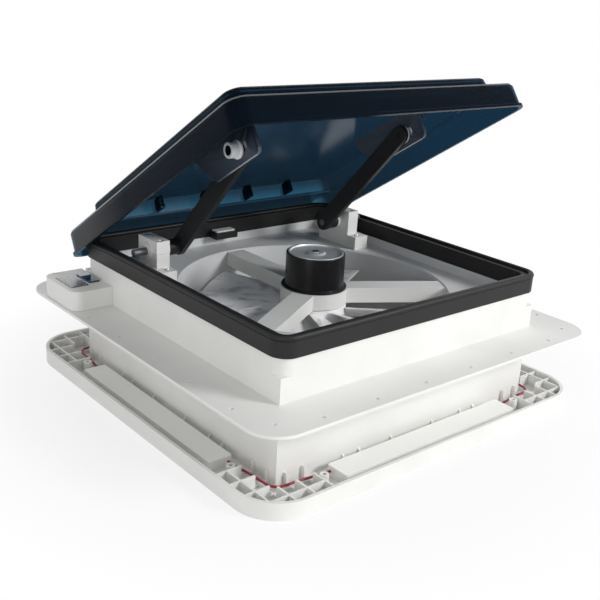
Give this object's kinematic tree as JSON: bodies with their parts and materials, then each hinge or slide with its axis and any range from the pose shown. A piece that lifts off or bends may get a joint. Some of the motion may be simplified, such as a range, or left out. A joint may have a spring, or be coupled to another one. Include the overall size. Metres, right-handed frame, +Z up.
{
  "type": "caravan roof vent",
  "caption": "Square fan roof vent with a smoked hinged lid on lift arms, a rain sensor on its flange and a lit ceiling trim whose collar fits the roof opening.",
  "frame": {"origin": "centre of the plan at the face of the ceiling trim, which is the lowest face", "axes": "+X along the lid hinge, +Y towards the hinge side, +Z up"},
  "size_m": [0.455, 0.455, 0.3451],
  "materials": {
    "white_plastic": "satin",
    "grey_plastic": "satin",
    "black_plastic": "satin",
    "slate_plastic": "satin",
    "smoked_plastic": "gloss",
    "seal_rubber": "matt",
    "black_metal": "satin",
    "grey_metal": "satin",
    "steel": "brushed",
    "magnet": "matt",
    "winding": "satin",
    "light_lens": "frosted",
    "light_strip": "matt",
    "red_wire": "satin",
    "sensor_lens": "gloss"
  },
  "bodies": {
    "base": {"ceiling_trim": "white_plastic", "light_bar_front": "white_plastic", "light_bar_right": "white_plastic", "light_bar_back": "white_plastic", "light_bar_left": "white_plastic", "roof_base": "white_plastic", "lid_sensor_pad": "white_plastic", "control_box": "white_plastic", "hinge_bracket_left": "white_plastic", "hinge_bracket_middle": "white_plastic", "hinge_bracket_right": "white_plastic", "lift_block_left": "white_plastic", "lift_block_right": "white_plastic", "lift_cap_left": "white_plastic", "lift_cap_right": "white_plastic", "rain_sensor_housing": "white_plastic", "fan_deck": "grey_plastic", "motor_spider": "grey_plastic", "rim_frame": "black_plastic", "rim_seal": "seal_rubber", "motor_can": "black_metal", "lift_motor_left": "grey_metal", "lift_motor_right": "grey_metal", "hinge_pin": "steel", "motor_cap": "steel", "motor_screws": "steel", "spider_screws": "steel", "lift_block_screws": "steel", "rain_sensor_plate": "steel", "motor_magnet": "magnet", "light_lens_front": "light_lens", "light_lens_right": "light_lens", "light_lens_back": "light_lens", "light_lens_left": "light_lens", "light_strips": "light_strip", "light_wires": "red_wire", "rain_sensor_lens": "sensor_lens"},
    "lid": {"lid_shell": "smoked_plastic", "lid_bracket_left": "slate_plastic", "lid_bracket_right": "slate_plastic", "bracket_screws": "steel"},
    "lift_left": {"lift_shaft_left": "steel", "lift_arm_left": "black_plastic", "slide_bush_left": "grey_plastic"},
    "lift_right": {"lift_shaft_right": "steel", "lift_arm_right": "black_plastic", "slide_bush_right": "grey_plastic"},
    "fan": {"motor_shaft": "steel", "motor_armature": "winding", "fan_rotor": "grey_plastic", "fan_nut": "steel"}
  },
  "joints": [
    {"name": "lid_hinge", "type": "hinge", "parent": "base", "child": "lid", "pos_m": [0, 0.1828, 0.11945], "axis": [-1, 0, 0], "range_deg": [-32.35, 0]},
    {"name": "lift_left_swing", "type": "hinge", "parent": "base", "child": "lift_left", "pos_m": [-0.13, 0.094, 0.1495], "axis": [-1, 0, 0], "range_deg": [-50.1, 0.2]},
    {"name": "lift_right_swing", "type": "hinge", "parent": "base", "child": "lift_right", "pos_m": [0.13, 0.094, 0.1495], "axis": [-1, 0, 0], "range_deg": [-50.1, 0.2]},
    {"name": "fan_spin", "type": "hinge", "parent": "base", "child": "fan", "pos_m": [0, -0.014, 0.09], "axis": [0, 0, 1], "continuous": true}
  ],
  "couplings": [
    {"joint": "lift_left_swing", "follows": "lid_hinge", "ratio": 1.543},
    {"joint": "lift_right_swing", "follows": "lid_hinge", "ratio": 1.543}
  ]
}
